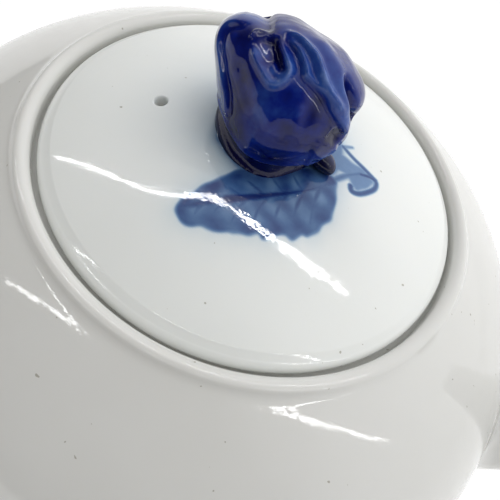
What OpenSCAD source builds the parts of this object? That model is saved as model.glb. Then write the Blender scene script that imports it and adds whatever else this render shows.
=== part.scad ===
/* [Body] */
// Widest radius of the round pot
belly_r = 68.6; // [66:0.2:71]
// Radius of the tightly curved band round the widest part
side_r = 38; // [37:0.5:39]
// Radius of the flatter domes that close the pot above and below that band
crown_r = 89; // [86:1:92]
// Height of the widest circle above the table
belly_z = 45; // [44:0.5:46]
// Thickness of the pot's wall
wall = 3.2; // [2.6:0.1:3.6]
// Thickness of the pot's floor
floor_t = 3.8; // [3:0.1:4.5]
// Height of the seam where the upper bowl joins the lower one
seam_z = 50.5; // [50:0.5:53]

/* [Foot ring] */
// Height of the foot ring
foot_h = 4; // [3.5:0.25:5]
// Outer radius of the foot ring where it meets the pot
foot_r = 36; // [35:0.5:37]
// Width of the foot ring at its top
foot_w = 4.6; // [4:0.2:5]

/* [Mouth and lid seat] */
// Radius of the opening that the lid drops into
mouth_r = 36.4; // [36:0.1:37]
// Radius of the rounded lip round the mouth
lip_r = 1.35; // [1.2:0.05:1.5]
// Height of the ledge that the lid rests on
seat_z = 81.4; // [81:0.1:81.6]
// Radius of the hole inside the ledge
seat_hole_r = 32.6; // [32.4:0.1:33]
// Thickness of the ledge
seat_t = 3; // [2.5:0.25:3.5]

/* [Lid] */
// Radius of the lid's edge
lid_r = 35.6; // [35:0.1:35.7]
// Radius of the lid's dome
dome_r = 89; // [87:1:91]
// Height of the top of the dome above the table
dome_top = 92; // [91.8:0.1:92.6]
// Thickness of the lid
lid_t = 3.2; // [2.8:0.1:3.6]
// Rounding radius of the lid's edge
lid_edge_r = 1.7; // [1.5:0.1:1.8]
// Outer radius of the collar under the lid
collar_r = 31.4; // [30.5:0.1:31.8]
// Thickness of the collar
collar_w = 2.6; // [2.2:0.1:3]
// Height of the collar's lower edge above the table
collar_z = 72; // [71:0.5:74]
// Diameter of the steam hole
steam_d = 2.1; // [1.8:0.1:2.4]
// Place of the steam hole on the lid
steam_at = [-18.2, -4.8]; // [-20:0.1:20]

/* [Spout] */
// Height at which the spout's upper edge leaves the pot
spout_root_z = 57; // [56:0.5:58.5]
// Height of the spout's mouth
spout_tip_z = 91; // [89:0.5:92]
// Half the width of the spout where it leaves the pot
spout_root_r = 19.5; // [18.5:0.5:20.5]
// Outer radius of the spout's neck
spout_neck_r = 6.0; // [5.8:0.1:6.4]
// Thickness of the spout's wall
spout_wall = 2.3; // [2:0.1:2.4]
// Diameter of each strainer hole
strainer_d = 3.4; // [3:0.1:3.8]
// Radius of the ring of strainer holes
strainer_ring_r = 7.4; // [7:0.2:8]

/* [Handle] */
// How far the handle reaches behind the pot's axis
handle_reach = 106; // [105:0.5:107]
// Width of the handle's grip
grip_w = 13; // [12:0.5:14]
// Thickness of the handle's grip
grip_t = 8.6; // [8:0.2:9.4]

/* [Rosebud knob] */
// Lean of the bud from upright, in degrees
bud_lean = 28; // [26:1:30]
// Widest radius of the bud
bud_r = 11.2; // [11:0.1:11.4]
// Height of the bud along its own axis
bud_h = 17; // [16.5:0.5:17.5]
// Thickness of one petal
petal_t = 2.0; // [1.8:0.1:2.2]
// Gap between two neighbouring petals
petal_gap = 0.15; // [0.1:0.05:0.25]

/* [Hidden] */
$fn = 96;
white = [0.93, 0.93, 0.915];
cobalt = [0.10, 0.15, 0.46];
navy = [0.05, 0.08, 0.30];
far = 200;

// ---------------------------------------------------------------- pot
// The pot's half section is two arcs that run smoothly into each other:
// one round the belly, centred off the axis, and one over the crown,
// centred on it. The same centres serve the inner face, so the wall
// is even all over.
side_x = belly_r - side_r;
crown_dz = sqrt(pow(crown_r - side_r, 2) - side_x * side_x);
join_x = side_x * crown_r / (crown_r - side_r);

module oval(t) {
    intersection() {
        translate([0, belly_z - crown_dz]) circle(r = crown_r - t);
        translate([0, belly_z + crown_dz]) circle(r = crown_r - t);
        translate([0, belly_z - far / 2])
            square([side_x * (crown_r - t) / (crown_r - side_r), far]);
    }
    intersection() {
        translate([side_x, belly_z]) circle(r = side_r - t);
        translate([side_x * (crown_r - t) / (crown_r - side_r), belly_z - far / 2])
            square([far, far]);
    }
}

lip_x = mouth_r + lip_r;
lip_z = belly_z - crown_dz + sqrt(crown_r * crown_r - lip_x * lip_x) - lip_r + 0.43;

module pot_envelope() rotate_extrude($fn = 180) oval(0);
module dome_ball() translate([0, 0, dome_z]) sphere(r = dome_r, $fn = 300);

module shell_section() {
    difference() {
        oval(0);
        intersection() {
            oval(wall);
            translate([0, foot_h + floor_t]) square([far, far]);
        }
        translate([0, -far + foot_h]) square([far, far]);
        translate([0, belly_z]) square([mouth_r, far]);
        translate([0, lip_z]) square([lip_x, far]);
    }
    translate([lip_x, lip_z]) circle(r = lip_r);
}

spout_axis_z = spout_root_z - 19;

module strainer_holes() {
    translate([0, 0, spout_axis_z]) {
        rotate([0, 90, 0]) cylinder(h = far / 2, d = strainer_d);
        for (i = [0:5])
            translate([0, strainer_ring_r * cos(60 * i), strainer_ring_r * sin(60 * i)])
                rotate([0, 90, 0]) cylinder(h = far / 2, d = strainer_d);
    }
}

module lower_bowl() color(white)
    difference() {
        rotate_extrude() intersection() {
            shell_section();
            square([far, seam_z]);
        }
        strainer_holes();
    }

module upper_bowl() color(white)
    rotate_extrude() intersection() {
        shell_section();
        translate([0, seam_z]) square([far, far]);
    }

module foot_ring() color(white)
    rotate_extrude()
        polygon([[foot_r - foot_w, foot_h], [foot_r - foot_w + 0.9, 0.7],
                 [foot_r - foot_w + 1.5, 0], [foot_r - 1, 0],
                 [foot_r - 0.4, 0.6], [foot_r, foot_h]]);

module lid_seat() color(white)
    rotate_extrude()
        intersection() {
            oval(wall);
            union() {
                translate([seat_hole_r, seat_z - seat_t])
                    square([mouth_r - seat_hole_r, seat_t]);
                polygon([[mouth_r, seat_z - seat_t], [mouth_r + 1.5, seat_z - seat_t],
                         [mouth_r + 4, seat_z - 0.4], [mouth_r + 4, seat_z + 2],
                         [mouth_r, seat_z + 2]]);
            }
        }

// ------------------------------------------------- swept spout and handle
// Cubic curve through four control points in the upright plane y = 0
function bez(p, t) = pow(1 - t, 3) * p[0] + 3 * t * pow(1 - t, 2) * p[1]
    + 3 * t * t * (1 - t) * p[2] + pow(t, 3) * p[3];
function bez_d(p, t) = pow(1 - t, 2) * (p[1] - p[0]) + 2 * t * (1 - t) * (p[2] - p[1])
    + t * t * (p[3] - p[2]);
function mix(a, b, t) = a + (b - a) * t;
function ease(t) = t * t * (3 - 2 * t);

// One ring of a swept tube: centre c, direction d, half width across y
// and half height in the plane
function ring(c, d, ry, rz, n) = let (a = atan2(d[1], d[0]))
    [for (i = [0:n - 1]) let (f = 360 * i / n, w = rz * sin(f))
        [c[0] - w * sin(a), ry * cos(f), c[1] + w * cos(a)]];

module tube(rings) {
    n = len(rings[0]);
    m = len(rings);
    pts = [for (r = rings) for (q = r) q];
    sides = [for (j = [0:m - 2]) for (i = [0:n - 1]) let (k = (i + 1) % n)
        each [[j * n + i, (j + 1) * n + k, j * n + k],
              [j * n + i, (j + 1) * n + i, (j + 1) * n + k]]];
    polyhedron(points = pts, faces = concat(
        [[for (i = [0:n - 1]) i]], sides,
        [[for (i = [0:n - 1]) m * n - 1 - i]]));
}

// The spout lies between a lower and an upper edge curve
spout_low = [[50, spout_root_z - 44], [76, spout_root_z - 39],
             [88, spout_root_z - 6], [109, spout_tip_z + 5]];
spout_top = [[56, spout_root_z + 1], [76, spout_root_z + 2],
             [83, spout_root_z + 17], [99, spout_tip_z + 7]];
function spout_half_w(t) = spout_neck_r + (spout_root_r - spout_neck_r) * pow(1 - max(t, 0), 2);
spout_n = 32;
spout_m = 26;

module spout_sweep(t0, t1, inset)
    tube([for (j = [0:spout_m])
        let (t = mix(t0, t1, j / spout_m), lo = bez(spout_low, t), up = bez(spout_top, t), v = up - lo)
        ring((lo + up) / 2, [v[1], -v[0]], spout_half_w(t) - inset, norm(v) / 2 - inset, spout_n)]);

module spout() color(white)
    difference() {
        spout_sweep(0, 0.985, 0);
        spout_sweep(-0.02, 1, spout_wall);
        pot_envelope();
        translate([60, -50, spout_tip_z]) cube(100);
    }

handle_path_a = [[-57, 54], [-82, 72], [-handle_reach + 0.4, 67], [-handle_reach + grip_t / 2, 46]];
handle_path_b = [[-handle_reach + grip_t / 2, 46], [-handle_reach + 8.2, 27], [-86, 17], [-56, 20]];
handle_m = 16;
function handle_swell(s) = 1 + 0.35 * pow(2 * s - 1, 4);

module handle() color(white)
    difference() {
        tube(concat(
            [for (j = [0:handle_m]) let (t = j / handle_m, k = handle_swell(t / 2))
                ring(bez(handle_path_a, t), bez_d(handle_path_a, t),
                     grip_w / 2 * k, grip_t / 2 * k, 24)],
            [for (j = [1:handle_m]) let (t = j / handle_m, k = handle_swell(0.5 + t / 2))
                ring(bez(handle_path_b, t), bez_d(handle_path_b, t),
                     grip_w / 2 * k * mix(1, 0.85, t), grip_t / 2 * k * mix(1, 0.9, t), 24)]));
        pot_envelope();
    }

// ---------------------------------------------------------------- lid
dome_z = dome_top - dome_r;
lid_edge_x = lid_r - lid_edge_r;
lid_edge_z = seat_z + lid_edge_r;

module lid_section() {
    difference() {
        translate([0, dome_z]) intersection() {
            circle(r = dome_r);
            translate([0, 0]) square([lid_edge_x, far]);
        }
        translate([0, dome_z]) intersection() {
            circle(r = dome_r - lid_t);
            square([collar_r, far]);
        }
        translate([0, -far + seat_z]) square([far, far]);
    }
    translate([lid_edge_x, lid_edge_z]) circle(r = lid_edge_r);
    translate([lid_edge_x - 0.6, lid_edge_z]) circle(r = lid_edge_r);
}

module lid_dome() color(white)
    difference() {
        rotate_extrude() lid_section();
        translate([steam_at[0], steam_at[1], 60]) cylinder(h = 60, d = steam_d);
    }

module lid_collar() color(white)
    rotate_extrude()
        difference() {
            intersection() {
                translate([0, dome_z]) circle(r = dome_r - lid_t);
                union() {
                    translate([collar_r - collar_w, collar_z + 1]) square([collar_w, far]);
                    polygon([[collar_r - collar_w, collar_z + 1],
                             [collar_r - collar_w + 0.7, collar_z],
                             [collar_r - 0.7, collar_z], [collar_r, collar_z + 1]]);
                }
            }
        }

// ------------------------------------------------------------ rosebud knob
// The bud's outline along its own axis: narrow at the calyx, widest below
// the middle, drawn in round the opening at the top
function bud_w(s) = bud_r * (0.70 + 0.30 * sin(min(1, s / 0.42) * 90))
    * (s < 0.42 ? 1 : 1 - 0.48 * pow((s - 0.42) / 0.58, 1.8));
// Outline of one layer of petals, d inside the bud's outline and ending at
// the height h, with its top edge rolled round
bud_steps = 12;
function layer_outer(d, h) = [for (i = [0:bud_steps]) let (s = h * i / bud_steps)
    [bud_w(s) - d, bud_h * s]];
function layer_inner(d, h) = [for (i = [bud_steps:-1:0]) let (s = h * i / bud_steps)
    [bud_w(s) - d - petal_t, bud_h * s]];

bud_at = [1.9, -0.3];
bud_z = 93;
module on_bud() translate([bud_at[0], bud_at[1], bud_z]) rotate([0, -bud_lean, 0]) children();

module petal(d, h, from, to) difference() {
    r0 = bud_w(h) - d - petal_t / 2 - 0.14;
    on_bud() rotate([0, 0, from])
        rotate_extrude(angle = to - from) {
            polygon(concat(layer_outer(d, h), layer_inner(d, h)));
            translate([r0, bud_h * h]) circle(r = petal_t / 2 - 0.17, $fn = 24);
        }
    dome_ball();
}

outer_d = 0;
inner_d = petal_t + petal_gap;
core_d = 2 * (petal_t + petal_gap);

module bud_core() color(navy)
    difference() {
        on_bud() rotate_extrude()
            polygon(concat([[0, 0]],
                [for (i = [0:bud_steps]) let (s = 0.72 * i / bud_steps) [bud_w(s) - core_d, bud_h * s]],
                [[2.6, bud_h * 0.80], [0, bud_h * 0.83]]));
        dome_ball();
    }

module petal_inner_left() color(cobalt) petal(inner_d, 0.90, 95, 262);
module petal_inner_right() color(cobalt) petal(inner_d, 0.86, 265, 452);
module petal_outer_left() color(cobalt) petal(outer_d, 0.86, 120, 222);
module petal_outer_front() color(cobalt) petal(outer_d, 0.80, 224, 296);
module petal_outer_right() color(cobalt) petal(outer_d, 0.84, 298, 378);
module petal_outer_back() color(cobalt) petal(outer_d, 0.90, 380, 478);

// The calyx fills the space between the tilted bud and the dome
module calyx() color(navy)
    difference() {
        on_bud() translate([0, 0, -6])
            cylinder(h = 6, r1 = bud_w(0) - 1.2, r2 = bud_w(0) - petal_gap);
        dome_ball();
    }

nub_r = 2.1;
nub_at = [11.4, 0.2];
module stem_nub() color(navy)
    difference() {
        translate([nub_at[0], nub_at[1],
                   dome_z + sqrt(dome_r * dome_r - nub_at[0] * nub_at[0] - nub_at[1] * nub_at[1]) + 0.6])
            sphere(r = nub_r);
        dome_ball();
        on_bud() rotate_extrude()
            polygon(concat([[0, -8], [bud_w(0) + 0.1, -8]],
                [for (i = [0:6]) let (s = 0.5 * i / 6) [bud_w(s) + 0.1, bud_h * s]],
                [[0, bud_h * 0.5]]));
    }

lower_bowl();
upper_bowl();
foot_ring();
lid_seat();
spout();
handle();
lid_dome();
lid_collar();
calyx();
stem_nub();
bud_core();
petal_inner_left();
petal_inner_right();
petal_outer_left();
petal_outer_front();
petal_outer_right();
petal_outer_back();
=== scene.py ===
import math

import bmesh
import bpy
import numpy as np
from mathutils import Matrix, Vector


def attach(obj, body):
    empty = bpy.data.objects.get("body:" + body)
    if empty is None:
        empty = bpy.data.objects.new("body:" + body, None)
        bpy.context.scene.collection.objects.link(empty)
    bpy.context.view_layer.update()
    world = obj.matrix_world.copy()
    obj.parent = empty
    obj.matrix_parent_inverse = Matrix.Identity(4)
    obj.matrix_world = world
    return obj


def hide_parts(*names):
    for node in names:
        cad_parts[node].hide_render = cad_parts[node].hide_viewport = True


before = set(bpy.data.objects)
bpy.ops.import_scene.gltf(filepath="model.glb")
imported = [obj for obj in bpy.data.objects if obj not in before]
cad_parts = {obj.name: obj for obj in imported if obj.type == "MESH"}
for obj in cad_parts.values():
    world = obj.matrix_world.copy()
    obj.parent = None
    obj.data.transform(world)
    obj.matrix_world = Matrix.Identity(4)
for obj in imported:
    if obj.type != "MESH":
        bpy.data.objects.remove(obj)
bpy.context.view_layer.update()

MM = 0.001
BELLY_C, BELLY_R, BELLY_Z = 30.6, 38.0, 45.0
CROWN_R, CROWN_DZ = 89.0, 40.8
LID_R, LID_Z = 89.0, 3.0


# ------------------------------------------------------------------ helpers
def smooth(a, b, x):
    t = np.clip((np.asarray(x, float) - a) / (b - a), 0.0, 1.0)
    return t * t * (3 - 2 * t)


def waves(p, size, amp, seed):
    """Soft, seeded hand-made unevenness: a few sine waves in fixed directions."""
    rng = np.random.RandomState(seed)
    out = np.zeros(len(p))
    for _ in range(9):
        d = rng.normal(size=3)
        d /= np.linalg.norm(d)
        k = 2 * math.pi / (size * rng.uniform(0.75, 1.6))
        out += np.sin(p @ d * k + rng.uniform(0, 6.28))
    return out * amp / 3.0


def revolve(prof, n):
    """Closed lathe of a profile of (r, z); a point on the axis becomes one vertex."""
    co, rows = [], []
    ang = np.arange(n) * 2 * math.pi / n
    for r, z in prof:
        if r < 1e-6:
            rows.append([len(co)])
            co.append((0.0, 0.0, z))
        else:
            rows.append(list(range(len(co), len(co) + n)))
            co.extend(zip(r * np.cos(ang), r * np.sin(ang), [z] * n))
    faces = []
    for a, b in zip(rows[:-1], rows[1:]):
        for i in range(n):
            j = (i + 1) % n
            if len(a) == 1:
                faces.append((a[0], b[i], b[j]))
            elif len(b) == 1:
                faces.append((a[i], b[0], a[j]))
            else:
                faces.append((a[i], b[i], b[j], a[j]))
    return np.array(co, float), faces


def grid_faces(m, n, base=0):
    """Faces of m rows by n columns, closed round the columns."""
    return [
        (base + j * n + i, base + (j + 1) * n + i, base + (j + 1) * n + (i + 1) % n, base + j * n + (i + 1) % n)
        for j in range(m - 1)
        for i in range(n)
    ]


def build(name, co, faces, mats, body, nodes, attrs=None, face_mats=None):
    me = bpy.data.meshes.new(name)
    me.from_pydata((np.asarray(co) * MM).tolist(), [], faces)
    for m in mats:
        me.materials.append(m)
    if face_mats is not None:
        me.polygons.foreach_set("material_index", np.asarray(face_mats, np.int32))
    for key, val in (attrs or {}).items():
        at = me.attributes.new(key, "FLOAT", "POINT")
        at.data.foreach_set("value", np.asarray(val, np.float32))
    bm = bmesh.new()
    bm.from_mesh(me)
    bmesh.ops.recalc_face_normals(bm, faces=bm.faces)
    bm.to_mesh(me)
    bm.free()
    me.shade_smooth()
    ob = bpy.data.objects.new(name, me)
    bpy.context.scene.collection.objects.link(ob)
    if nodes:
        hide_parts(*nodes)
    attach(ob, body)
    return ob


def arc(cx, cz, r, a0, a1, n):
    t = np.radians(np.linspace(a0, a1, n))
    return [(cx + r * math.cos(a), cz + r * math.sin(a)) for a in t]


def bezier(p, t):
    p = np.asarray(p, float)
    t = np.asarray(t, float)[..., None]
    return (1 - t) ** 3 * p[0] + 3 * t * (1 - t) ** 2 * p[1] + 3 * t * t * (1 - t) * p[2] + t ** 3 * p[3]


def curve_through(pts, k=12, closed=False):
    """Catmull-Rom curve through points."""
    p = np.asarray(pts, float)
    n = len(p)
    out = []
    for i in range(n if closed else n - 1):
        if closed:
            a, b, c, d = p[i - 1], p[i], p[(i + 1) % n], p[(i + 2) % n]
        else:
            a, b, c, d = p[max(i - 1, 0)], p[i], p[i + 1], p[min(i + 2, n - 1)]
        for t in np.linspace(0, 1, k, endpoint=False):
            out.append(0.5 * (2 * b + (c - a) * t + (2 * a - 5 * b + 4 * c - d) * t * t + (3 * b - a - 3 * c + d) * t ** 3))
    if not closed:
        out.append(p[-1])
    return np.array(out)


def line_dist(q, line):
    """Distance of points q to an open line, the side it lies on, and how far along (0 to 1)."""
    best = np.full(len(q), 1e9)
    side = np.zeros(len(q))
    along = np.zeros(len(q))
    seg = np.linalg.norm(np.diff(line, axis=0), axis=1)
    start = np.concatenate([[0], np.cumsum(seg)])
    for i in range(len(line) - 1):
        a, b = line[i], line[i + 1]
        ab = b - a
        L = ab @ ab
        if L < 1e-12:
            continue
        t = np.clip((q - a) @ ab / L, 0, 1)
        v = q - (a + t[:, None] * ab)
        d = np.hypot(v[:, 0], v[:, 1])
        m = d < best
        best[m] = d[m]
        side[m] = np.sign(ab[0] * v[m, 1] - ab[1] * v[m, 0])
        along[m] = (start[i] + t[m] * seg[i]) / start[-1]
    return best, side, along


def poly_dist(q, poly):
    """Signed distance to a closed outline, negative inside."""
    ring = np.vstack([poly, poly[:1]])
    d, _, _ = line_dist(q, ring)
    inside = np.zeros(len(q), bool)
    for i in range(len(ring) - 1):
        (x0, y0), (x1, y1) = ring[i], ring[i + 1]
        hit = (y0 > q[:, 1]) != (y1 > q[:, 1])
        with np.errstate(divide="ignore", invalid="ignore"):
            xs = (x1 - x0) * (q[:, 1] - y0) / (y1 - y0) + x0
        inside ^= hit & (q[:, 0] < xs)
    return np.where(inside, -d, d)


# ---------------------------------------------------------------- materials
def new_mat(name):
    m = bpy.data.materials.new(name)
    m.use_nodes = True
    nt = m.node_tree
    return m, nt, nt.nodes["Principled BSDF"]


def node(nt, kind, **kw):
    n = nt.nodes.new(kind)
    for k, v in kw.items():
        setattr(n, k, v)
    return n


def noise(nt, scale, detail=2.0, rough=0.5):
    c = node(nt, "ShaderNodeTexCoord")
    n = node(nt, "ShaderNodeTexNoise")
    n.inputs["Scale"].default_value = scale
    n.inputs["Detail"].default_value = detail
    n.inputs["Roughness"].default_value = rough
    nt.links.new(c.outputs["Object"], n.inputs["Vector"])
    return n


def ramp(nt, src, stops, interp="LINEAR"):
    r = node(nt, "ShaderNodeValToRGB")
    r.color_ramp.interpolation = interp
    while len(r.color_ramp.elements) < len(stops):
        r.color_ramp.elements.new(0.5)
    for e, (p, c) in zip(r.color_ramp.elements, stops):
        e.position = p
        e.color = (*c, 1.0) if len(c) == 3 else c
    nt.links.new(src, r.inputs["Fac"])
    return r


def add_bump(nt, bsdf, layers):
    """layers: (noise scale, strength, distance) stacked into one normal."""
    last = None
    for scale, strength, dist in layers:
        n = noise(nt, scale, 2.0)
        b = node(nt, "ShaderNodeBump")
        b.inputs["Strength"].default_value = strength
        b.inputs["Distance"].default_value = dist
        nt.links.new(n.outputs["Fac"], b.inputs["Height"])
        if last:
            nt.links.new(last.outputs["Normal"], b.inputs["Normal"])
        last = b
    nt.links.new(last.outputs["Normal"], bsdf.inputs["Normal"])


def mix_rgb(nt, fac, a, b, mode="MIX"):
    m = node(nt, "ShaderNodeMix", data_type="RGBA", blend_type=mode)
    for s, v in ((m.inputs[0], fac), (m.inputs[6], a), (m.inputs[7], b)):
        if isinstance(v, (int, float)):
            s.default_value = v
        elif isinstance(v, tuple):
            s.default_value = (*v, 1.0)
        else:
            nt.links.new(v, s)
    return m.outputs[2]


def rgb(r, g, b):
    """sRGB 0-255 to linear."""
    f = lambda c: c / 255 / 12.92 if c / 255 <= 0.04045 else ((c / 255 + 0.055) / 1.055) ** 2.4
    return (f(r), f(g), f(b))


def glaze_base(name, light, dark, sss=0.10):
    """White porcelain under a clear glaze: a faint drift of tone, tiny specks, soft glaze ripple."""
    m, nt, b = new_mat(name)
    big = noise(nt, 28.0, 3.0)
    tone = ramp(nt, big.outputs["Fac"], [(0.32, dark), (0.68, light)])
    speck = noise(nt, 1100.0, 0.0)
    sp = ramp(nt, speck.outputs["Fac"], [(0.0, (0.50, 0.47, 0.42)), (0.118, (0.62, 0.60, 0.55)), (0.132, (1, 1, 1)), (1.0, (1, 1, 1))])
    colour = mix_rgb(nt, 1.0, tone.outputs["Color"], sp.outputs["Color"], "MULTIPLY")
    rr = ramp(nt, noise(nt, 240.0, 3.0).outputs["Fac"], [(0.3, (0.035,) * 3), (0.75, (0.085,) * 3)])
    nt.links.new(rr.outputs["Color"], b.inputs["Roughness"])
    b.inputs["IOR"].default_value = 1.52
    b.inputs["Subsurface Weight"].default_value = sss
    b.inputs["Subsurface Radius"].default_value = (1.0, 0.9, 0.75)
    b.inputs["Subsurface Scale"].default_value = 0.0018
    add_bump(nt, b, [(60.0, 0.10, 0.0010), (700.0, 0.035, 0.0004)])
    return m, nt, b, colour


# painted light and shade: the pot's white (body, foot, spout, handle) is a darker, warmer copy of the lid's white,
# standing in for the shade on the pot's sides and the light on the lid's upward face
BODY_LIGHT, BODY_DARK = (0.77, 0.768, 0.742), (0.725, 0.722, 0.692)
LID_LIGHT, LID_DARK = (0.905, 0.92, 0.895), (0.87, 0.89, 0.865)

white_glaze, nt_, b_, c_ = glaze_base("white_glaze", BODY_LIGHT, BODY_DARK)
nt_.links.new(c_, b_.inputs["Base Color"])


def make_lid_glaze():
    m, nt, b, white = glaze_base("lid_glaze", LID_LIGHT, LID_DARK)
    at = node(nt, "ShaderNodeAttribute", attribute_name="paint")
    # the brushed pigment breaks up a little where it is thin
    grain = noise(nt, 420.0, 4.0, 0.6)
    g = node(nt, "ShaderNodeMath", operation="MULTIPLY_ADD")
    nt.links.new(grain.outputs["Fac"], g.inputs[0])
    g.inputs[1].default_value = 0.34
    g.inputs[2].default_value = 0.83
    d = node(nt, "ShaderNodeMath", operation="MULTIPLY")
    nt.links.new(at.outputs["Fac"], d.inputs[0])
    nt.links.new(g.outputs[0], d.inputs[1])
    cobalt = ramp(nt, d.outputs[0], [
        (0.0, (1.0, 1.0, 1.0)),
        (0.18, (0.62, 0.74, 0.86)),
        (0.42, (0.17, 0.30, 0.54)),
        (0.62, (0.065, 0.15, 0.36)),
        (0.82, (0.016, 0.05, 0.22)),
        (1.0, (0.004, 0.012, 0.12)),
    ])
    col = mix_rgb(nt, 1.0, white, cobalt.outputs["Color"], "MULTIPLY")
    nt.links.new(col, b.inputs["Base Color"])
    return m


lid_glaze = make_lid_glaze()


def make_bud_glaze(name, deep, mid, pale):
    m, nt, b = new_mat(name)
    at = node(nt, "ShaderNodeAttribute", attribute_name="tone")
    cloud = noise(nt, 170.0, 4.0, 0.55)
    fine = noise(nt, 900.0, 3.0, 0.6)
    a = node(nt, "ShaderNodeMath", operation="MULTIPLY_ADD")
    nt.links.new(cloud.outputs["Fac"], a.inputs[0])
    a.inputs[1].default_value = 1.5
    nt.links.new(at.outputs["Fac"], a.inputs[2])
    f = node(nt, "ShaderNodeMath", operation="MULTIPLY_ADD")
    nt.links.new(fine.outputs["Fac"], f.inputs[0])
    f.inputs[1].default_value = 0.10
    nt.links.new(a.outputs[0], f.inputs[2])
    s = node(nt, "ShaderNodeMath", operation="SUBTRACT")
    nt.links.new(f.outputs[0], s.inputs[0])
    s.inputs[1].default_value = 0.85
    c = ramp(nt, s.outputs[0], [(0.0, deep), (0.33, mid), (0.66, pale), (1.0, rgb(120, 146, 200))])
    nt.links.new(c.outputs["Color"], b.inputs["Base Color"])
    rr = ramp(nt, noise(nt, 500.0, 3.0).outputs["Fac"], [(0.3, (0.02,) * 3), (0.75, (0.055,) * 3)])
    nt.links.new(rr.outputs["Color"], b.inputs["Roughness"])
    b.inputs["IOR"].default_value = 1.42
    add_bump(nt, b, [(130.0, 0.12, 0.0008), (1100.0, 0.04, 0.0003)])
    return m


cobalt_glaze = make_bud_glaze("cobalt_glaze", rgb(2, 3, 62), rgb(8, 28, 116), rgb(40, 74, 150))
navy_glaze = make_bud_glaze("navy_glaze", rgb(2, 3, 34), rgb(7, 12, 58), rgb(22, 36, 88))


def make_bare():
    m, nt, b = new_mat("bare_foot")
    g = noise(nt, 900.0, 5.0, 0.7)
    big = noise(nt, 60.0, 3.0)
    c = ramp(nt, big.outputs["Fac"], [(0.3, (0.66, 0.635, 0.58)), (0.7, (0.74, 0.72, 0.67))])
    nt.links.new(c.outputs["Color"], b.inputs["Base Color"])
    r = ramp(nt, g.outputs["Fac"], [(0.3, (0.62,) * 3), (0.7, (0.85,) * 3)])
    nt.links.new(r.outputs["Color"], b.inputs["Roughness"])
    add_bump(nt, b, [(2200.0, 0.35, 0.00015), (300.0, 0.2, 0.0003)])
    return m


bare_foot = make_bare()


# ------------------------------------------------------------ pot body form
def pot_out(p):
    """Distance outside the pot's round outer face, in mm, and its outward normal."""
    r = np.hypot(p[:, 0], p[:, 1])
    up = np.abs(p[:, 2] - BELLY_Z)
    sg = np.where(p[:, 2] >= BELLY_Z, 1.0, -1.0)
    phi = np.degrees(np.arctan2(up, r - BELLY_C))
    belt = phi < 53.13
    d1 = np.hypot(r - BELLY_C, up) - BELLY_R
    d2 = np.hypot(r, up + CROWN_DZ) - CROWN_R
    nr = np.where(belt, r - BELLY_C, r)
    nz = np.where(belt, up, up + CROWN_DZ)
    L = np.hypot(nr, nz)
    nr, nz = nr / L, nz / L * sg
    rr = np.maximum(r, 1e-9)
    nrm = np.stack([p[:, 0] / rr * nr, p[:, 1] / rr * nr, nz], 1)
    return np.where(belt, d1, d2), nrm


def section(off):
    """The outer face's profile, off mm inside it, from the low crown up to the lip's foot."""
    low = [(r, BELLY_Z + CROWN_DZ - math.sqrt((CROWN_R - off) ** 2 - r * r)) for r in np.linspace(40.0, (CROWN_R - off) * 0.6 - 1.0, 12)]
    mid = arc(BELLY_C, BELLY_Z, BELLY_R - off, -53.13, 53.13, 61)
    high = [(r, BELLY_Z - CROWN_DZ + math.sqrt((CROWN_R - off) ** 2 - r * r)) for r in np.linspace((CROWN_R - off) * 0.6 - 1.0, 42.0, 12)]
    return low + mid + high


def z_crown(r, off=0.0):
    return BELLY_Z - CROWN_DZ + math.sqrt((CROWN_R - off) ** 2 - r * r)


def pot_profile():
    out = [(0.0, 4.05), (6, 4.05), (12, 4.05), (18, 4.06), (24, 4.06), (28, 4.06), (30.0, 4.0), (31.0, 3.72), (31.6, 3.2), (31.75, 2.6)]
    out += [(35.75, 2.2), (36.1, 3.2), (36.7, 4.0), (37.7, 4.85), (38.8, 5.55)]
    out += section(0.0)
    # the crown lifts gently into the rounded lip
    out += [(41.3, z_crown(41.3)), (40.7, z_crown(40.7)), (40.2, z_crown(40.2)), (39.75, z_crown(39.75) + 0.01), (39.4, z_crown(39.4) + 0.05), (39.1, z_crown(39.1) + 0.15), (38.85, z_crown(38.85) + 0.30)]
    out += arc(37.75, 83.88, 1.35, 50, 180, 17)
    out += [(36.4, 83.2), (36.4, 82.5), (36.42, 81.9), (36.3, 81.6), (36.05, 81.42), (35.4, 81.38), (34.6, 81.38), (33.8, 81.38)]
    out += arc(33.4, 80.6, 0.8, 88, 176, 7)
    out += [(32.6, 80.0), (32.6, 79.4)]
    out += arc(33.3, 79.1, 0.7, 182, 268, 6)
    out += [(34.4, 78.4), (36.0, 78.4), (37.4, 78.42), (38.6, 78.7), (39.6, 79.05), (40.6, 79.3)]
    inner = section(3.2)[::-1]
    out += [p for p in inner if p[0] < 90]
    out += [(38.2, 8.95), (36.6, 8.3), (34.6, 7.95), (32.0, 7.82), (28, 7.8), (22, 7.8), (16, 7.8), (10, 7.8), (5, 7.8), (0.0, 7.8)]
    return out


def cut_with(ob, tools):
    """Exact boolean cuts, applied to the mesh."""
    for t in tools:
        md = ob.modifiers.new("cut", "BOOLEAN")
        md.operation = "DIFFERENCE"
        md.solver = "EXACT"
        md.object = t
    bpy.context.view_layer.update()
    dep = bpy.context.evaluated_depsgraph_get()
    me = bpy.data.meshes.new_from_object(ob.evaluated_get(dep))
    ob.modifiers.clear()
    old = ob.data
    ob.data = me
    me.name = old.name + "_cut"
    for t in tools:
        bpy.data.objects.remove(t)
    me.shade_smooth()


def tool(co, faces):
    me = bpy.data.meshes.new("tool")
    me.from_pydata((np.asarray(co) * MM).tolist(), [], faces)
    bm = bmesh.new()
    bm.from_mesh(me)
    bmesh.ops.recalc_face_normals(bm, faces=bm.faces)
    bm.to_mesh(me)
    bm.free()
    ob = bpy.data.objects.new("tool", me)
    bpy.context.scene.collection.objects.link(ob)
    return ob


def pot_wave(p):
    up = smooth(8, 20, p[:, 2])
    return up * (waves(p, 46.0, 0.06, 5) + waves(p, 19.0, 0.012, 6))


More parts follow.
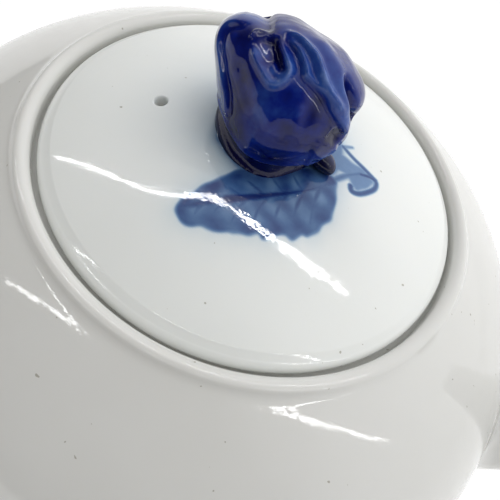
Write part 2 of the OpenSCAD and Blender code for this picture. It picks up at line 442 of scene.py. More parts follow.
co, fa = revolve(pot_profile(), 288)
_, nrm = pot_out(co)
w = pot_wave(co)
w[np.hypot(co[:, 0], co[:, 1]) < 38.4] = 0
w *= smooth(38.4, 44.0, np.hypot(co[:, 0], co[:, 1]))
dist, _ = pot_out(co)
w[dist < -1.0] = 0
co += nrm * w[:, None]
pot = build("pot_body", co, fa, [white_glaze], "pot", ("lower_bowl", "upper_bowl", "lid_seat"))

holes = []
for k in range(7):
    y, z = (0.0, 0.0) if k == 6 else (7.4 * math.cos(k * math.pi / 3), 7.4 * math.sin(k * math.pi / 3))
    zz = 38.0 + z
    outer = BELLY_C + math.sqrt(BELLY_R ** 2 - (zz - BELLY_Z) ** 2)
    xo = math.sqrt(outer ** 2 - y * y)
    prof = [(0.0, -8.0), (2.6, -8.0), (2.6, -3.6), (2.25, -3.35), (1.95, -3.0), (1.75, -2.4), (1.7, -1.6), (1.75, -0.8), (1.95, -0.2), (2.25, 0.15), (2.6, 0.4), (2.6, 5.0), (0.0, 5.0)]
    c2, f2 = revolve(prof, 28)
    c2 = np.stack([xo + c2[:, 2], y + c2[:, 0], zz + c2[:, 1]], 1)
    holes.append(tool(c2, f2))
cut_with(pot, holes)

# the bare ring that stands on the table
ring = [(31.5, 3.3), (31.62, 2.4), (31.95, 1.3), (32.3, 0.6), (32.7, 0.18), (33.1, 0.02), (33.9, 0.0), (34.7, 0.02), (35.1, 0.2), (35.45, 0.6), (35.75, 1.4), (35.95, 2.4), (36.05, 3.2), (35.2, 4.2), (33.4, 4.3), (32.0, 4.1), (31.5, 3.3)]
dense = curve_through(ring[:-1], 4, closed=True)
n = 240
ang = np.arange(n) * 2 * math.pi / n
co = np.concatenate([np.stack([r * np.cos(ang), r * np.sin(ang), np.full(n, z)], 1) for r, z in dense])
fa = grid_faces(len(dense), n) + [((len(dense) - 1) * n + i, i, (i + 1) % n, (len(dense) - 1) * n + (i + 1) % n) for i in range(n)]
co[:, 2] = np.maximum(co[:, 2], 0.0)
zc = np.repeat(dense[:, 1], n)
fm = [1 if np.mean([zc[v] for v in f]) < 0.9 else 0 for f in fa]
build("foot_rim", co, fa, [white_glaze, bare_foot], "pot", ("foot_ring",), face_mats=fm)


# ------------------------------------------------------- spout and handle
def trim(point, f, t0, t1, target, first=True):
    """The parameter at which each line of a sweep leaves the pot: distance == target."""
    ts = np.linspace(t0, t1, 400)
    out = []
    for a in f:
        d, _ = pot_out(np.array([point(t, a) for t in ts]))
        idx = np.where((d[:-1] < target) & (d[1:] >= target))[0] if first else np.where((d[:-1] >= target) & (d[1:] < target))[0]
        if len(idx) == 0:
            out.append(t0 if first else t1)
            continue
        i = idx[-1] if first else idx[0]
        u = (target - d[i]) / (d[i + 1] - d[i])
        out.append(ts[i] + u * (ts[i + 1] - ts[i]))
    return np.array(out)


def fillet(p, centre, radius):
    """Pushes a sweep's points sideways where it meets the pot, in a smooth cove."""
    d, nrm = pot_out(p)
    away = p - centre
    away -= (away * nrm).sum(1)[:, None] * nrm
    away /= np.maximum(np.linalg.norm(away, axis=1), 1e-6)[:, None]
    x = np.clip(radius - d, 0, radius)
    push = radius - np.sqrt(np.maximum(radius ** 2 - x ** 2, 0))
    return p + away * push[:, None]


SP_LOW = np.array([[50, 13], [76, 18], [88, 51], [109, 96]], float)
SP_TOP = np.array([[56, 58], [76, 59], [83, 74], [99, 98]], float)


def sp_frame(t, inset):
    lo, up = bezier(SP_LOW, t), bezier(SP_TOP, t)
    v = up - lo
    L = np.hypot(v[0], v[1])
    wid = 6.0 + 13.5 * (1 - max(t, 0)) ** 2
    return (lo + up) / 2, v / L, wid - inset, L / 2 - inset


def sp_point(t, a, inset=0.0):
    c, v, wy, wz = sp_frame(t, inset)
    h = wz * math.sin(a)
    return (c[0] + v[0] * h, wy * math.cos(a), c[1] + v[1] * h)


def sp_centre(t):
    c, _, _, _ = sp_frame(t, 0.0)
    return (c[0], 0.0, c[1])


def sp_end(a, inset, top):
    lo, hi = 0.6, 1.08
    for _ in range(40):
        m = (lo + hi) / 2
        if sp_point(m, a, inset)[2] < top:
            lo = m
        else:
            hi = m
    return lo


def build_spout():
    n, m = 96, 110
    f = np.arange(n) * 2 * math.pi / n
    rows = []
    start = trim(lambda t, a: sp_point(t, a), f, 0.0, 0.9, -0.5)
    end = np.array([sp_end(a, 0.0, 90.3) for a in f])
    for s in np.linspace(0, 1, m) ** 1.5:
        t = start + (end - start) * s
        p = np.array([sp_point(tt, a) for tt, a in zip(t, f)])
        c = np.array([sp_centre(tt) for tt in t])
        rows.append(fillet(p, c, 6.5))
    inset = 2.1
    i_start = trim(lambda t, a: sp_point(t, a, inset), f, 0.0, 0.9, -0.35)
    i_end = np.array([sp_end(a, inset, 90.3) for a in f])
    outer_end = rows[-1]
    inner_end = np.array([sp_point(t, a, inset) for t, a in zip(i_end, f)])
    mid = (outer_end + inner_end) / 2
    half = (outer_end - inner_end) / 2
    for k in range(1, 12):
        b = math.pi * k / 12
        rows.append(mid + half * math.cos(b) + np.array([0.12, 0, 1.0]) * (0.95 * math.sin(b)))
    for s in np.linspace(0, 1, 60):
        t = i_end + (i_start - i_end) * s
        rows.append(np.array([sp_point(tt, a, inset) for tt, a in zip(t, f)]))
    co = np.concatenate(rows)
    d, nrm = pot_out(co)
    co = co + nrm * (smooth(3.0, 12.0, d) * waves(co, 30.0, 0.12, 11))[:, None]
    near = (d > -0.6) & (d < 3.0)
    co[near] += nrm[near] * (pot_wave(co[near]) * (1 - smooth(0.5, 3.0, d[near])))[:, None]
    return build("spout_skin", co, grid_faces(len(rows), n), [white_glaze], "pot", ("spout",))


build_spout()

HA = [[-57, 54], [-82, 72], [-105.6, 67], [-101.7, 46]]
HB = [[-101.7, 46], [-97.8, 27], [-86, 17], [-56, 20]]


def ha_frame(s):
    if s < 0.5:
        c, e = bezier(HA, s * 2), bezier(HA, min(s * 2 + 1e-3, 1.0)) - bezier(HA, min(s * 2 + 1e-3, 1.0) - 2e-3)
        kw = kt = 1.0
    else:
        t = s * 2 - 1
        c, e = bezier(HB, t), bezier(HB, min(t + 1e-3, 1.0)) - bezier(HB, min(t + 1e-3, 1.0) - 2e-3)
        kw, kt = 1 - 0.15 * t, 1 - 0.10 * t
    e = e / np.hypot(e[0], e[1])
    k = 1 + 0.35 * (2 * s - 1) ** 4
    return c, np.array([-e[1], e[0]]), 6.5 * k * kw, 4.3 * k * kt


def ha_point(s, a):
    c, v, wy, wt = ha_frame(s)
    sq = 1 + 0.06 * math.cos(2 * a) ** 2
    h = wt * math.sin(a) * sq
    return (c[0] + v[0] * h, wy * math.cos(a) * (0.985 + 0.015 * sq), c[1] + v[1] * h)


def build_handle():
    n, m = 64, 150
    f = np.arange(n) * 2 * math.pi / n
    s0 = trim(ha_point, f, 0.0, 0.45, -0.5)
    s1 = trim(ha_point, f, 0.55, 1.0, -0.5, first=False)
    rows = []
    for u in np.linspace(0, 1, m):
        s = u - 0.72 * math.sin(2 * math.pi * u) / (2 * math.pi)
        t = s0 + (s1 - s0) * s
        p = np.array([ha_point(tt, a) for tt, a in zip(t, f)])
        c = np.array([(ha_frame(tt)[0][0], 0.0, ha_frame(tt)[0][1]) for tt in t])
        rows.append(fillet(p, c, 4.6))
    co = np.concatenate(rows)
    d, nrm = pot_out(co)
    co = co + nrm * (smooth(3.0, 12.0, d) * waves(co, 26.0, 0.14, 21))[:, None]
    near = (d > -0.6) & (d < 3.0)
    co[near] += nrm[near] * (pot_wave(co[near]) * (1 - smooth(0.5, 3.0, d[near])))[:, None]
    return build("handle_skin", co, grid_faces(len(rows), n), [white_glaze], "pot", ("handle",))


build_handle()


# ---------------------------------------------------------------------- lid
def lid_profile():
    out = [(0.0, 92.0)]
    rs = list(np.arange(0.3, 24.0, 0.25)) + list(np.arange(24.0, 31.0, 0.45)) + list(np.arange(31.0, 33.9, 0.25))
    out += [(r, LID_Z + math.sqrt(LID_R ** 2 - r * r)) for r in rs]
    # the dome's own slope runs on into the rounded edge
    tang = math.degrees(math.acos(33.9 / LID_R))
    out += arc(33.9, 83.1, 1.7, tang, -88, 22)
    out += [(33.2, 81.4), (32.6, 81.42), (32.1, 81.36), (31.75, 81.1), (31.5, 80.6), (31.42, 79.9), (31.4, 78.5), (31.4, 76.5), (31.4, 74.5), (31.4, 73.2)]
    out += arc(30.4, 73.0, 1.0, 0, -90, 8)
    out += arc(29.8, 73.0, 1.0, -90, -180, 8)
    out += [(28.8, 75.0), (28.8, 77.5), (28.8, 80.0), (28.75, 81.8), (28.5, 82.7), (27.9, 83.4), (27.0, 84.0), (26.0, 84.55)]
    out += [(r, LID_Z + math.sqrt(85.8 ** 2 - r * r)) for r in (24, 21, 18, 15, 12, 9, 6, 3)]
    out += [(0.0, 88.8)]
    return out


T5 = math.radians(5)


def painted(xy):
    """Turns a point of the painting's own drawing into the lid's frame."""
    xy = np.asarray(xy, float)
    return np.stack([xy[:, 0] * math.cos(T5) - xy[:, 1] * math.sin(T5), xy[:, 0] * math.sin(T5) + xy[:, 1] * math.cos(T5)], 1)


def brush(q, pts, w0, w1, soft, amount):
    """A brush stroke along points, w0 wide at its start and w1 at its end."""
    ln = curve_through(painted(pts), 10)
    d, side, al = line_dist(q, ln)
    wid = (w0 + (w1 - w0) * al) / 2
    return amount * (1 - smooth(wid - soft, wid + soft, d))


def lid_paint(co):
    q = co[:, :2]
    top = smooth(82.5, 83.5, co[:, 2]) * (co[:, 2] > LID_Z + np.sqrt(np.maximum(LID_R ** 2 - (q ** 2).sum(1), 0)) - 1.2)
    outline = painted([(-8.0, -20.7), (-8.4, -19.4), (-8.0, -17.5), (-7.1, -15.8), (-5.9, -14.1), (-4.3, -11.7), (-2.6, -9.7), (0.5, -8.2), (5.5, -4.5), (9.8, -2.9),
                       (11.7, -4.9), (12.5, -7.9), (12.5, -10.4), (11.6, -12.2), (11.3, -13.6), (10.2, -15.1), (9.2, -15.3), (8.4, -16.6), (7.0, -16.6), (6.0, -17.6), (4.4, -18.6), (3.4, -18.3),
                       (2.2, -19.3), (0.6, -19.8), (-0.6, -19.9), (-1.8, -20.6), (-3.2, -21.0), (-4.2, -21.1), (-5.4, -21.4), (-6.9, -21.5)])
    leaf = curve_through(outline, 6, closed=True)
    wob = waves(co, 3.2, 0.16, 31)
    sd = poly_dist(q, leaf) + wob
    body = 1 - smooth(-0.55, 0.55, sd)
    # pigment settles thicker in slanted strokes between the side veins
    ax = painted([(-8.1, -19.3), (-4.6, -16.9), (-0.8, -14.2), (3.0, -11.5), (6.5, -8.9), (10.9, -4.7)])
    mid = curve_through(ax, 10)
    dm, sm, al = line_dist(q, mid)
    band = 0.5 + 0.5 * np.sin(al * 2 * math.pi * 6.5 + np.where(sm > 0, 0.4, 2.2) - dm * 0.62)
    dens = 0.53 + 0.12 * band + 0.05 * waves(co, 2.4, 1.0, 33)
    dens += 0.10 * (1 - smooth(0.2, 1.8, np.abs(sd + 0.9)))
    dens = np.where(sm < 0, dens, dens + 0.04)
    paint = body * dens
    # midrib and the stem it grows from
    paint = np.maximum(paint, body * brush(q, [(-8.1, -19.5), (-4.6, -17.0), (-0.8, -14.4)], 1.6, 1.7, 0.75, 0.80))
    paint = np.maximum(paint, body * brush(q, [(-2.6, -15.6), (-0.8, -14.4), (3.0, -11.7), (6.5, -9.0), (8.4, -7.2)], 1.8, 0.5, 0.6, 0.96))
    paint = np.maximum(paint, brush(q, [(6.0, -9.4), (8.6, -6.9), (10.6, -4.6)], 1.6, 1.3, 0.8, 0.72))
    # side veins: broad soft strokes
    for a, b, k in (((-5.0, -17.4), (-5.6, -20.4), 0.66), ((-2.6, -15.7), (-3.4, -20.2), 0.68), ((0.0, -13.9), (-0.6, -19.0), 0.70), ((2.6, -12.1), (2.2, -17.8), 0.72), ((5.0, -10.2), (4.9, -16.4), 0.74), ((7.2, -8.3), (7.4, -15.0), 0.76), ((9.2, -6.4), (9.8, -13.2), 0.72), ((10.6, -5.0), (11.9, -10.2), 0.66),
                    ((-3.2, -16.0), (-6.6, -16.4), 0.62), ((-0.6, -14.1), (-4.2, -13.8), 0.74), ((2.0, -12.3), (-1.8, -11.2), 0.78), ((4.4, -10.4), (1.4, -8.6), 0.74), ((6.6, -8.4), (4.2, -6.2), 0.70)):
        paint = np.maximum(paint, body * brush(q, [a, ((a[0] + b[0]) / 2 - 0.35, (a[1] + b[1]) / 2 + 0.1), b], 1.35, 0.8, 0.65, k))
    # the stem runs out of the leaf under the knob, turns in a loop and back to the knob
    paint = np.maximum(paint, brush(q, [(10.2, -4.6), (11.3, -3.0), (12.7, -1.2), (14.8, 0.9)], 1.1, 1.3, 0.7, 0.60))
    paint = np.maximum(paint, brush(q, [(14.8, 0.7), (16.6, 1.4), (17.8, 1.2), (17.8, -0.3), (16.7, -2.0), (15.3, -3.4), (14.1, -3.7), (13.7, -2.9)], 0.8, 1.0, 0.35, 0.76))
    paint = np.maximum(paint, brush(q, [(17.6, 1.5), (14.9, 2.4), (12.6, 3.2), (10.5, 4.3)], 0.9, 0.75, 0.35, 0.70))
    hook = painted([(9.4, -1.6), (12.1, -1.7), (13.8, -3.0), (15.4, -3.2), (17.2, -0.8), (17.6, 1.2), (14.8, 2.2), (12.0, 2.6), (9.8, 2.6)])
    paint = np.maximum(paint, 0.47 * (1 - smooth(-0.9, 0.5, poly_dist(q, curve_through(hook, 6, closed=True)) + wob)))
    paint = np.maximum(paint, brush(q, [(11.0, 4.6), (12.1, 5.4)], 1.0, 0.7, 0.4, 0.42))
    # pigment that bled out of the knob into the glaze, with painted shadow on top: a tight dark ring at the knob's foot
    # and a longer soft shadow, darkest and widest on the knob's -x side
    base = painted([(-8.1, -5.4), (-6.5, -7.6), (-3.5, -9.5), (-0.8, -10.1), (1.3, -9.7), (3.5, -7.2), (5.3, -5.1), (7.5, -4.1), (9.6, -3.3), (10.9, 0.2), (9.0, 6.0), (3.0, 9.2), (-4.0, 7.5), (-8.3, 2.0)])
    ds = poly_dist(q, curve_through(base, 6, closed=True))
    c, s = q[:, 0] + 1.0, q[:, 1] + 0.5
    left = 0.5 - 0.5 * np.cos(np.arctan2(s, c) - math.radians(-20))
    # painted shade: the 0.35 ring is a painted contact shadow at the foot, and left weights a painted cast shadow
    # towards -x; the leaf's soft fringe below is pigment bleed
    bleed_and_shade = (0.11 + 0.13 * left) * np.exp(-np.maximum(ds, 0) / (2.4 + 2.6 * left)) + 0.35 * np.exp(-np.maximum(ds, 0) / 0.55)
    bleed_and_shade += 0.10 * np.exp(-np.maximum(sd, 0) / 1.6)
    return np.clip(np.maximum(paint, np.minimum(bleed_and_shade, 0.55)), 0, 1) * top


# low swells in the dome, in mm: centre x, centre y, height; fitted to bend the far strip's reflection, not measured relief
SWELLS = ((-20, -15, -0.09), (-15, -15, -0.11), (-10, -25, 0.13), (-10, -15, -0.11), (-5, -25, 0.05), (-5, -20, -0.03), (-5, -10, 0.03), (5, -15, -0.06),
          (10, -20, -0.06), (10, -15, -0.07), (10, -10, 0.03), (10, -5, 0.08), (15, -20, -0.02), (15, -15, -0.09), (15, -10, 0.03), (15, -5, 0.09),
          (20, -20, -0.04), (20, -10, 0.03), (20, -5, 0.02), (25, -10, 0.03))


def lid_wave(p):
    r = np.hypot(p[:, 0], p[:, 1])
    k = (p[:, 2] > 80.9) * (1 - smooth(32.0, 35.6, r) * 0.6)
    k = k * smooth(1.6, 5.0, np.hypot(p[:, 0] + 18.2, p[:, 1] + 4.8))
    out = waves(p, 30.0, 0.012, 41) + waves(p, 13.0, 0.006, 42)
    for cx, cy, h in SWELLS:
        out = out + h * np.exp(-((p[:, 0] - cx) ** 2 + (p[:, 1] - cy) ** 2) / 5.5 ** 2)
    return k * out


co, fa = revolve(lid_profile(), 512)
paint = lid_paint(co)
rad = co - np.array([0, 0, LID_Z])
rad /= np.linalg.norm(rad, axis=1)[:, None]
above = co[:, 2] > 83.0
on_top = above & (np.linalg.norm(co - np.array([0, 0, LID_Z]), axis=1) > 87.5)
co += rad * (lid_wave(co) * on_top)[:, None]
lid = build("lid_skin", co, fa, [lid_glaze], "lid", ("lid_dome", "lid_collar"), attrs={"paint": paint})

sx, sy = -18.2, -4.8
sz = LID_Z + math.sqrt(LID_R ** 2 - sx * sx - sy * sy)
prof = [(0.0, -6.0), (1.9, -6.0), (1.9, -3.5), (1.5, -3.2), (1.2, -2.9), (1.0, -2.4), (0.95, -0.9), (0.97, -0.45), (1.04, -0.2), (1.18, -0.04), (1.36, 0.04), (1.6, 0.09), (1.8, 0.3), (1.8, 3.0), (0.0, 3.0)]
c2, f2 = revolve(prof, 40)
up = Vector((sx, sy, sz - LID_Z)).normalized()
rot = np.array(up.to_track_quat("Z", "Y").to_matrix())
c2 = c2 @ rot.T + np.array([sx, sy, sz])
cut_with(lid, [tool(c2, f2)])
# the hole's own wall carries no pigment
xyz = np.zeros(len(lid.data.vertices) * 3)
lid.data.vertices.foreach_get("co", xyz)
xyz = xyz.reshape(-1, 3) / MM
val = np.zeros(len(xyz))
lid.data.attributes["paint"].data.foreach_get("value", val)
hole = np.hypot(xyz[:, 0] - sx, xyz[:, 1] - sy) < 3.0
flat = xyz[hole].copy()
flat[:, 2] = LID_Z + np.sqrt(LID_R ** 2 - flat[:, 0] ** 2 - flat[:, 1] ** 2)
val[hole] = lid_paint(flat) * smooth(-1.2, -0.3, xyz[hole, 2] - flat[:, 2])
lid.data.attributes["paint"].data.foreach_set("value", val)


# ------------------------------------------------------------- rosebud knob
BUD_C = np.array([-2.0, -0.3, 100.4])
EB = np.array([0.098, -0.795, 0.598])
EB /= np.linalg.norm(EB)
ER = np.cross([0, 0, 1.0], EB)
ER /= np.linalg.norm(ER)
EU = np.cross(EB, ER)

OUTLINE = [(10, 11.3), (17, 11.22), (25, 10.78), (35, 9.97), (48, 9.25), (62, 8.6), (80, 7.98), (95, 8.23), (107, 8.75), (116, 9.07), (125, 9.2), (134, 9.28), (140, 10.2), (146, 11.0), (153, 11.5), (158, 11.72),
           (164, 11.69), (172, 11.36), (179, 10.93), (187, 10.3), (199, 9.7), (212, 9.45), (226, 9.65), (240, 10.2), (250, 10.8), (262, 11.4), (275, 11.6), (290, 11.5), (305, 11.4), (320, 11.4), (335, 11.5), (346, 11.38), (353, 10.72), (359, 10.5), (364, 10.99)]


def outline_radius(psi):
    a = np.array([p for p, _ in OUTLINE], float)
    m = np.array([v for _, v in OUTLINE], float)
    a = np.concatenate([a - 360, a, a + 360])
    m = np.concatenate([m, m, m])
    fine = np.arange(-30, 391, 1.0)
    v = np.interp(fine, a, m)
    k = np.exp(-0.5 * (np.arange(-9, 10) / 3.0) ** 2)
    v = np.convolve(v, k / k.sum(), "same")
    return np.interp(psi % 360, fine, v)


def bud_surface(n):
    """Radius of the bud along each unit direction n, and how much lighter the glaze is there."""
    cb = np.clip(n @ EB, -1, 1)
    g = np.degrees(np.arccos(cb))
    psi = np.degrees(np.arctan2(n @ EU, n @ ER)) % 360
    q = np.stack([g * np.cos(np.radians(psi)), g * np.sin(np.radians(psi))], 1)
    el = np.degrees(np.arcsin(np.clip(n[:, 2], -1, 1)))
    m = outline_radius(psi)
    R = 10.1 + (m - 10.1) * smooth(18, 76, g)
    R = R + (9.6 - R) * smooth(104, 160, g)
    front = 1 - smooth(92, 112, g)
    feat = np.zeros(len(n))
    tone = np.zeros(len(n))

    def stroke(pts, amp, width, fade=None):
        ln = curve_through(pts, 8)
        d, s, al = line_dist(q, ln)
        a = np.exp(-(d / width) ** 2)
        if fade is not None:
            a = a * smooth(0, fade[0], al + 1e-6) * (1 - smooth(1 - fade[1], 1, al))
        return amp * a * front

    def step(pts, amp, sharp, reach, sign, ends=(0.1, 0.1)):
        """A petal's edge: one side stands amp proud of the other and sinks back over reach."""
        ln = curve_through(pts, 8)
        d, s, al = line_dist(q, ln)
        x = d * s * sign
        up = smooth(-sharp, sharp, x)
        hi = np.exp(-np.maximum(x, 0) / reach)
        lo = np.exp(-np.maximum(-x, 0) / (reach * 0.9))
        e = smooth(0, ends[0], al + 1e-6) * (1 - smooth(1 - ends[1], 1, al))
        return amp * (up * hi * 0.55 - (1 - up) * lo * 0.45) * e * front

    # left outer petal wraps the heart: its edge runs from the top down the left side
    feat += step([(-43, 33), (-50, 27), (-60, 21), (-63, 11), (-60, 0), (-54, -13), (-47, -26), (-41, -40), (-36, -54)], 0.90, 1.8, 15, -1, (0.12, 0.12))
    # the heart's own slit and the lips round it
    feat += stroke([(-24, 29), (-16, 20), (-10, 12), (-5, 5)], -1.15, 3.0, (0.25, 0.2))
    feat += stroke([(-28, 26), (-20, 16), (-12, 8)], -0.55, 4.6, (0.2, 0.2))
    feat += stroke([(-36, 18), (-27, 8), (-17, 0.5), (-9, -3), (-3, 1), (-1, 9), (-6, 15), (-16, 23), (-26, 30)], 0.78, 2.9, (0.2, 0.2))
    # the furrow from the slit to the notch in the outline
    feat += stroke([(-27, 26), (-32, 34), (-41, 48), (-53, 62), (-62, 72)], -0.50, 6.5, (0.2, 0.05))
    feat += stroke([(-37, 20), (-36, 27), (-31, 29)], 0.25, 1.8)
    # right petal: a rolled edge and a second fold beside it
    feat += step([(-16, 30), (-3, 25), (5, 17), (10, 10), (17, 8), (29, 3), (41, -5), (57, -13), (70, -20)], 1.15, 2.6, 11, 1, (0.12, 0.10))
    feat += stroke([(-19, 37), (-6, 34), (3, 31), (13, 25), (19, 18), (27, 10), (40, 3), (56, -4)], 0.68, 3.0, (0.15, 0.25))
    feat += stroke([(-12, 32), (0, 28), (9, 20), (15, 14), (24, 8)], -0.30, 2.6, (0.2, 0.2))
    feat += stroke([(2, 48), (20, 38), (34, 24), (46, 8), (60, -6), (74, -14)], 0.35, 8.0, (0.2, 0.2))
    # back petal's lobe and the seam in front of it
    feat += stroke([(40, 30), (45, 19), (53, 12), (64, 3), (80, -3)], -1.15, 4.0, (0.25, 0.05))
    # pocket under the right petal and the flap below it
    feat += stroke([(48, -18), (58, -22), (66, -26)], -0.5, 5.5, (0.3, 0.3))
    feat += step([(36, -30), (48, -27), (60, -29), (74, -33)], 0.5, 2.6, 10, -1, (0.3, 0.1))
    feat += stroke([(52, -52), (62, -42), (74, -36)], 0.30, 7.0, (0.3, 0.3))
    # the lower right side of the front petal
    feat += step([(38, -30), (44, -42), (48, -56), (46, -68)], 0.4, 3.2, 10, 1, (0.3, 0.1))
    # dimple and long hollows in the front petal
    feat += stroke([(4, -6), (7, -10)], -0.14, 6.0)
    feat += stroke([(-41, 6), (-35, -6), (-25, -18), (-12, -30)], -0.28, 6.0, (0.2, 0.3))
    feat += stroke([(12, -6), (16, -18), (24, -38)], 0.22, 6.0, (0.2, 0.3))
    feat += stroke([(-14, -14), (-6, -28), (6, -44)], 0.24, 7.0, (0.2, 0.3))

    # petals of the far side: three overlapping lobes
    az = np.degrees(np.arctan2(n[:, 1], n[:, 0]))
    back = smooth(96, 118, g)
    for c0, lift, tilt in ((95, 0.8, 14), (165, 0.75, -10), (35, 0.6, -12)):
        x = (az - c0 + 180) % 360 - 180 + tilt * (el / 60)
        feat += back * lift * (smooth(-3, 3, x) * np.exp(-np.maximum(x, 0) / 26) * 0.6 - (1 - smooth(-3, 3, x)) * np.exp(np.minimum(x, 0) / 14) * 0.4) * smooth(-45, -15, el) * (1 - smooth(48, 72, el))
    # petals' lower rim and the neck under it, all round
    rim = -27 + 2.5 * np.sin(np.radians(az * 2 + 40)) + 1.5 * np.sin(np.radians(az * 5))
    x = el - rim
    feat += 0.34 * np.exp(-((x - 1.0) / 3.0) ** 2)
    under = 1 - smooth(-3.4, 0.2, x)
    R = R + feat
    # the neck under the rim, upright where it was stuck to the lid
    na = np.array([-180, -160, -134, -117, -94, -78, -66, -46, -28, -12, 20, 60, 100, 140, 180], float)
    nh = np.array([7.7, 7.8, 8.0, 8.4, 9.2, 9.7, 9.8, 8.7, 8.5, 8.6, 8.4, 8.0, 7.8, 7.7, 7.7])
    fa_ = np.arange(-190, 191, 2.0)
    hv = np.interp((fa_ + 180) % 360 - 180, na, nh)
    kk = np.exp(-0.5 * (np.arange(-4, 5) / 2.0) ** 2)
    hv = np.convolve(hv, kk / kk.sum(), "same")
    neck = (np.interp(az, fa_, hv) - 0.25 + 0.7 * (1 - smooth(-43.5, -38.5, el)) ** 2) / np.cos(np.radians(np.clip(el, -60, 0)))
    R = R * (1 - under) + np.minimum(neck, R + 3.0) * under
    R = R + 0.05 * waves(n * 10.4, 5.0, 1.0, 51) + 0.02 * waves(n * 10.4, 2.2, 1.0, 52)

    # glaze: thin and pale on ridges, deep in hollows; painted light and painted shade are added below
    tone += 0.36 + 0.34 * np.clip(feat, -0.9, 1.0)
    # patches at listed spots: the lighter ones on the slit's left wall and the right petal's shoulder are painted light
    # on faces turned towards the lamps; darker ones sit in the dimple and in the pocket under the right petal
    for (cx, cy, rr, k) in ((-24, 14, 5, 0.34), (-32, 13, 6, 0.26), (-14, 5, 4, 0.2), (10, 20, 7, 0.12), (24, 16, 8, 0.14), (-45, 46, 10, 0.12), (30, -18, 10, 0.05), (8, -44, 8, 0.16),
                            (60, 0, 9, 0.12), (66, -42, 9, 0.18), (-18, 38, 9, 0.10), (40, 10, 9, 0.10), (-60, 50, 12, 0.14),
                            (6, -8, 6, -0.22), (-30, -6, 9, -0.14), (-24, -24, 9, -0.10), (-6, -12, 9, -0.12), (58, -21, 6, -0.2), (26, -60, 10, -0.14), (14, -26, 8, -0.10)):
        tone += k * np.exp(-((q[:, 0] - cx) ** 2 + (q[:, 1] - cy) ** 2) / rr ** 2) * front
    # painted shade: the neck under the petals' rim is darkened as the shadowed gap between knob and lid
    tone -= 0.6 * under
    return R, np.clip(tone, 0.0, 1.0)


def build_bud():
    bm = bmesh.new()
    bmesh.ops.create_icosphere(bm, subdivisions=7, radius=1.0)
    me = bpy.data.meshes.new("rosebud")
    bm.to_mesh(me)
    bm.free()
    n = np.zeros(len(me.vertices) * 3)
    me.vertices.foreach_get("co", n)
    n = n.reshape(-1, 3)
    n /= np.linalg.norm(n, axis=1)[:, None]
    R, tone = bud_surface(n)
    p = BUD_C + n * R[:, None]
    # everything below the dome is drawn up to just under its face
    v = p - np.array([0, 0, LID_Z])
    L = np.linalg.norm(v, axis=1)
    floor = LID_R - 0.35
    # stop each direction where it meets the dome, so the foot closes flat inside it
    low = L < floor
    o = BUD_C - np.array([0, 0, LID_Z])
    b = n[low] @ o
    c = o @ o - floor ** 2
    disc = np.maximum(b * b - c, 0)
    t = -b - np.sqrt(disc)
    p[low] = BUD_C + n[low] * np.maximum(t, 0.5)[:, None]
    me.vertices.foreach_set("co", (p * MM).ravel())
    at = me.attributes.new("tone", "FLOAT", "POINT")
    at.data.foreach_set("value", tone.astype(np.float32))
    me.materials.append(cobalt_glaze)
    me.update()
    me.shade_smooth()
    ob = bpy.data.objects.new("rosebud_knob", me)
    bpy.context.scene.collection.objects.link(ob)
    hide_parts("calyx", "bud_core", "petal_inner_left", "petal_inner_right", "petal_outer_left", "petal_outer_front", "petal_outer_right", "petal_outer_back")
    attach(ob, "lid")
    return ob


build_bud()


def build_stem():
    """The cut end of the stem: a short lumpy stub lying on the lid beside the bud."""
    path = curve_through([(5.2, -1.9, 93.9), (7.4, -2.2, 93.5), (9.0, -2.3, 92.9), (10.2, -2.2, 91.9)], 8)
    n = 40
    rows = []
    for i, c in enumerate(path):
        u = i / (len(path) - 1)
        d = path[min(i + 1, len(path) - 1)] - path[max(i - 1, 0)]
        d /= np.linalg.norm(d)
        s = np.cross(d, [0, 0, 1.0])
        s /= np.linalg.norm(s)
        t = np.cross(s, d)
        r = 1.75 * math.sqrt(max(1 - max(u - 0.35, 0) ** 2 / 0.4226, 0.0)) + 0.02
        a = np.arange(n) * 2 * math.pi / n
        rows.append(c + r * (np.cos(a)[:, None] * s + 0.85 * np.sin(a)[:, None] * t))
    co = np.concatenate(rows)
    m = len(rows)
    co = np.vstack([co, path[0], path[-1]])
    fa = grid_faces(m, n)
    fa += [(m * n, (i + 1) % n, i) for i in range(n)]
    fa += [(m * n + 1, (m - 1) * n + i, (m - 1) * n + (i + 1) % n) for i in range(n)]
    co += 0.0
    return build("stem_stub", co, fa, [navy_glaze], "lid", ("stem_nub",), attrs={"tone": np.full(len(co), 0.32)})


build_stem()


# ------------------------------------------------------- floor, light, camera
def make_floor():
    me = bpy.data.meshes.new("floor")
    s = 3.0
    me.from_pydata([(-s, -s, 0), (s, -s, 0), (s, s, 0), (-s, s, 0)], [], [(0, 1, 2, 3)])
    m, nt, b = new_mat("pale_floor")
    c = ramp(nt, noise(nt, 3.0, 2.0).outputs["Fac"], [(0.3, (0.90, 0.90, 0.895)), (0.7, (0.93, 0.93, 0.925))])
    nt.links.new(c.outputs["Color"], b.inputs["Base Color"])
    b.inputs["Roughness"].default_value = 0.6
    b.inputs["Emission Color"].default_value = (1, 1, 1, 1)
    b.inputs["Emission Strength"].default_value = 0.20
    me.materials.append(m)
    ob = bpy.data.objects.new("floor", me)
    bpy.context.scene.collection.objects.link(ob)


make_floor()


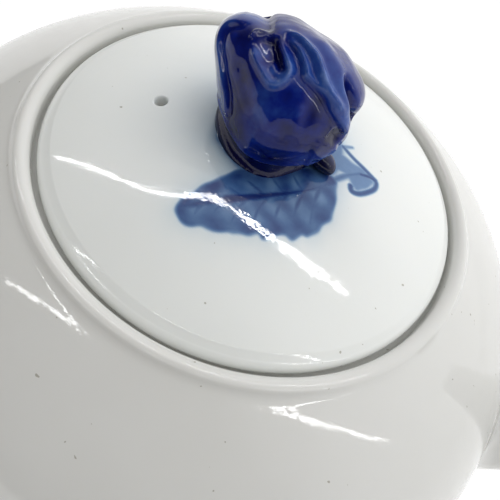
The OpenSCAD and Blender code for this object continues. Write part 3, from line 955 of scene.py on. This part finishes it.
def strip(name, centre, length, width, turn, power, colour=(1, 1, 1)):
    li = bpy.data.lights.new(name, "AREA")
    li.shape = "RECTANGLE"
    li.size = length
    li.size_y = width
    li.energy = power
    li.color = colour
    ob = bpy.data.objects.new(name, li)
    ob.location = centre
    ob.rotation_euler = (0, 0, math.radians(turn))
    bpy.context.scene.collection.objects.link(ob)
    return ob


H = 1.6
strip("strip_far", (-0.35 * H, 0.26 * H, H), 2.1 * H, 0.013 * H, 0, 8.0)
strip("strip_near", (0.75 * H, -0.58 * H, H), 4.2 * H, 0.022 * H, 6, 13.0)

world = bpy.data.worlds.new("studio")
bpy.context.scene.world = world
world.use_nodes = True
wt = world.node_tree
bg = wt.nodes["Background"]
tc = wt.nodes.new("ShaderNodeTexCoord")
dot = wt.nodes.new("ShaderNodeVectorMath")
dot.operation = "DOT_PRODUCT"
dot.inputs[1].default_value = Vector((0.56, 0.77, 0.31)).normalized()
wt.links.new(tc.outputs["Generated"], dot.inputs[0])
half = wt.nodes.new("ShaderNodeMath")
half.operation = "MULTIPLY_ADD"
half.inputs[1].default_value = 0.5
half.inputs[2].default_value = 0.5
wt.links.new(dot.outputs["Value"], half.inputs[0])
# a dim room behind the viewer, a broad white wall of light on the far right
sky = ramp(wt, half.outputs[0], [(0.0, (0.070, 0.060, 0.048)), (0.36, (0.045, 0.041, 0.036)), (0.50, (0.14, 0.138, 0.136)), (0.70, (0.90, 0.905, 0.91)), (1.0, (1.12, 1.12, 1.12))])
wt.links.new(sky.outputs["Color"], bg.inputs["Color"])
bg.inputs["Strength"].default_value = 1.0

cam = bpy.data.cameras.new("camera")
cam.sensor_width = 36.0
cam.lens = 34.56
cam.clip_start = 0.005
cam.clip_end = 50
co_ = bpy.data.objects.new("camera", cam)
rows_ = [(0.871249239, 0.404350720, 0.278253947), (-0.490840128, 0.718715350, 0.492467476), (-0.000855804, -0.565640117, 0.824651761)]
rot_ = Matrix(rows_).transposed()
co_.matrix_world = Matrix.Translation(Vector((0.00504976309, -0.05771905625, 0.14358875043))) @ rot_.to_4x4()
bpy.context.scene.collection.objects.link(co_)
bpy.context.scene.camera = co_

vs = bpy.context.scene.view_settings
vs.view_transform = "Standard"
vs.look = "None"
vs.exposure = 0.10
